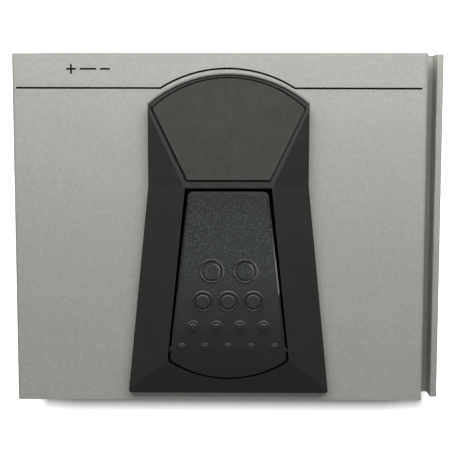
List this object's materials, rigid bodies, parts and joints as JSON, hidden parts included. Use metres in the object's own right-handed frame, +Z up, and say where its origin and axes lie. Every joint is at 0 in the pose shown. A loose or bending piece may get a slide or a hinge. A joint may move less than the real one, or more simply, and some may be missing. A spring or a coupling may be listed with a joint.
{
  "type": "foot pedal switch",
  "caption": "Low foot switch: silver extruded body with a hook rail, black pedal frame and sprung treadle over a snap switch, jack socket and polarity slide at the rear.",
  "frame": {"origin": "on the floor under the middle of the body's bounding box", "axes": "+X to the side with the raised hook rail, +Y to the rear with the jack, +Z up"},
  "size_m": [0.102, 0.083, 0.0269],
  "materials": {
    "body_silver": "silver paint, fine metallic, half matt",
    "panel_black": "black powder coat",
    "screw_black": "blackened",
    "screw_zinc": "zinc plated",
    "base_steel": "black powder coat",
    "foot_rubber": "matt",
    "frame_black": "fine moulded grain",
    "fan_grip": "matt, lightly mottled",
    "treadle_black": "half gloss, speckled grain",
    "pin_steel": "ground",
    "spring_steel": "drawn wire",
    "stop_rubber": "matt",
    "board_green": "solder mask",
    "standoff_zinc": "zinc plated",
    "snap_case": "moulded",
    "snap_plunger": "moulded",
    "lever_steel": "rolled",
    "lead_tin": "tinned",
    "jack_plastic": "moulded",
    "bushing_nickel": "nickel plated",
    "washer_nickel": "nickel plated",
    "nut_nickel": "nickel plated",
    "contact_brass": "stamped",
    "slide_steel": "tinned",
    "slide_base": "phenolic",
    "slide_knob": "moulded"
  },
  "bodies": {
    "chassis": {"chassis_shell": "body_silver", "front_panel": "panel_black", "rear_panel": "panel_black", "panel_screws": "screw_black", "base_plate": "base_steel", "base_screws": "screw_zinc", "rubber_feet": "foot_rubber", "pedal_frame": "frame_black", "frame_screws": "screw_zinc", "fan_inlay": "fan_grip", "hinge_pin": "pin_steel", "return_spring": "spring_steel", "stop_bumpers": "stop_rubber", "circuit_board": "board_green", "board_standoffs": "standoff_zinc", "board_screws": "screw_zinc", "microswitch_case": "snap_case", "microswitch_leads": "lead_tin", "jack_body": "jack_plastic", "jack_bushing": "bushing_nickel", "jack_washer": "washer_nickel", "jack_nut": "nut_nickel", "jack_tip_contact": "contact_brass", "jack_sleeve_contact": "contact_brass", "polarity_frame": "slide_steel", "polarity_base": "slide_base", "polarity_leads": "lead_tin"},
    "treadle": {"treadle": "treadle_black"},
    "switch_lever": {"microswitch_lever": "lever_steel"},
    "switch_plunger": {"microswitch_plunger": "snap_plunger"},
    "polarity_knob": {"polarity_slider": "slide_knob"}
  },
  "joints": [
    {"name": "treadle_hinge", "type": "hinge", "parent": "chassis", "child": "treadle", "pos_m": [0, -0.0295, 0.0192], "axis": [-1, 0, 0], "range_deg": [0, 4.2], "stiffness_Nm_per_rad": 3.5, "springref_deg": -4.47, "deforming": ["return_spring"]},
    {"name": "lever_hinge", "type": "hinge", "parent": "chassis", "child": "switch_lever", "pos_m": [0, -0.0162, 0.01375], "axis": [-1, 0, 0], "range_deg": [0, 9.1]},
    {"name": "plunger_slide", "type": "slide", "parent": "chassis", "child": "switch_plunger", "axis": [0, 0, -1], "range_m": [0, 0.0007]},
    {"name": "polarity_slide", "type": "slide", "parent": "chassis", "child": "polarity_knob", "axis": [1, 0, 0], "range_m": [0, 0.002]}
  ],
  "couplings": [
    {"joint": "lever_hinge", "follows": "treadle_hinge", "ratio": 2.15},
    {"joint": "plunger_slide", "follows": "treadle_hinge", "m_per_rad": 0.0088}
  ]
}
